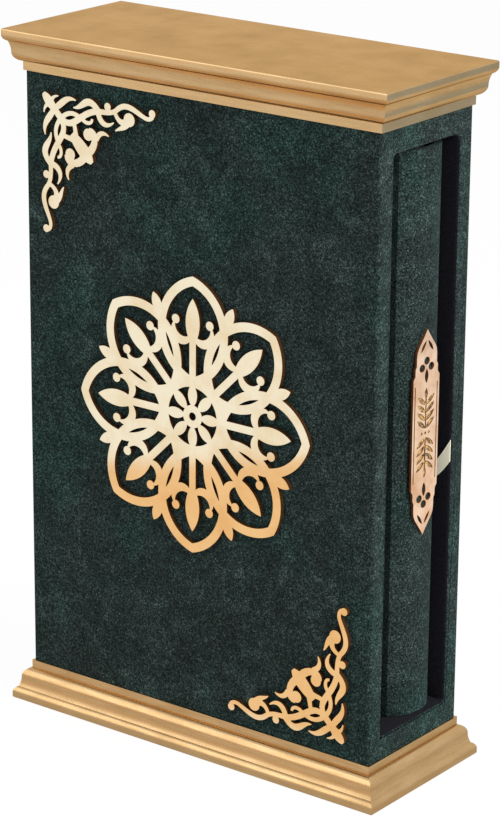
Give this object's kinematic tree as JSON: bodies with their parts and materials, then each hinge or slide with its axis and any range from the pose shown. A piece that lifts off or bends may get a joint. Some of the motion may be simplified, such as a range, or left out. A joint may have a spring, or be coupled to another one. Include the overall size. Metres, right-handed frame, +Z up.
{
  "type": "book slipcase with book",
  "caption": "Upright velvet-covered presentation case, open at one end, with moulded gold cornice and base, cut gold ornaments, and a round-backed book that slides out by a ribbon.",
  "frame": {"origin": "centre of the base's underside", "axes": "+Z up, +X out of the open end where the book's spine shows, the ornamented front faces -Y"},
  "size_m": [0.1982, 0.0792, 0.306],
  "materials": {
    "velvet": "dark green crushed velvet",
    "lining": "near-black flocked lining",
    "gilt_moulding": "gold lacquer on machined fibreboard",
    "case_board": "bare fibreboard",
    "gold_acrylic": "gold mirror acrylic, laser cut",
    "plaque_acrylic": "rose gold mirror acrylic, engraved",
    "screw_steel": "yellow zinc plated",
    "dowel_beech": "beech dowel",
    "binder_board": "grey bookbinding card",
    "paper": "cream paper",
    "binding_cloth": "woven binding cloth",
    "ribbon_satin": "cream satin ribbon"
  },
  "bodies": {
    "case": {"case_front_board": "case_board", "case_back_board": "case_board", "case_end_board": "case_board", "case_top_board": "case_board", "case_floor_board": "case_board", "case_cover_cloth": "velvet", "case_lining": "lining", "cornice": "gilt_moulding", "base": "gilt_moulding", "cornice_dowels": "dowel_beech", "base_screws": "screw_steel", "corner_ornament_upper": "gold_acrylic", "corner_ornament_lower": "gold_acrylic", "centre_medallion": "gold_acrylic", "pull_ribbon": "ribbon_satin"},
    "book": {"book_front_board": "binder_board", "book_back_board": "binder_board", "book_spine_strip": "binder_board", "book_cover_cloth": "velvet", "text_block": "paper", "front_endpaper": "paper", "back_endpaper": "paper", "spine_lining": "binding_cloth", "head_band": "binding_cloth", "tail_band": "binding_cloth", "spine_plaque": "plaque_acrylic"}
  },
  "joints": [
    {"name": "book_slide", "type": "slide", "parent": "case", "child": "book", "axis": [1, 0, 0], "range_m": [0, 0.185]}
  ]
}
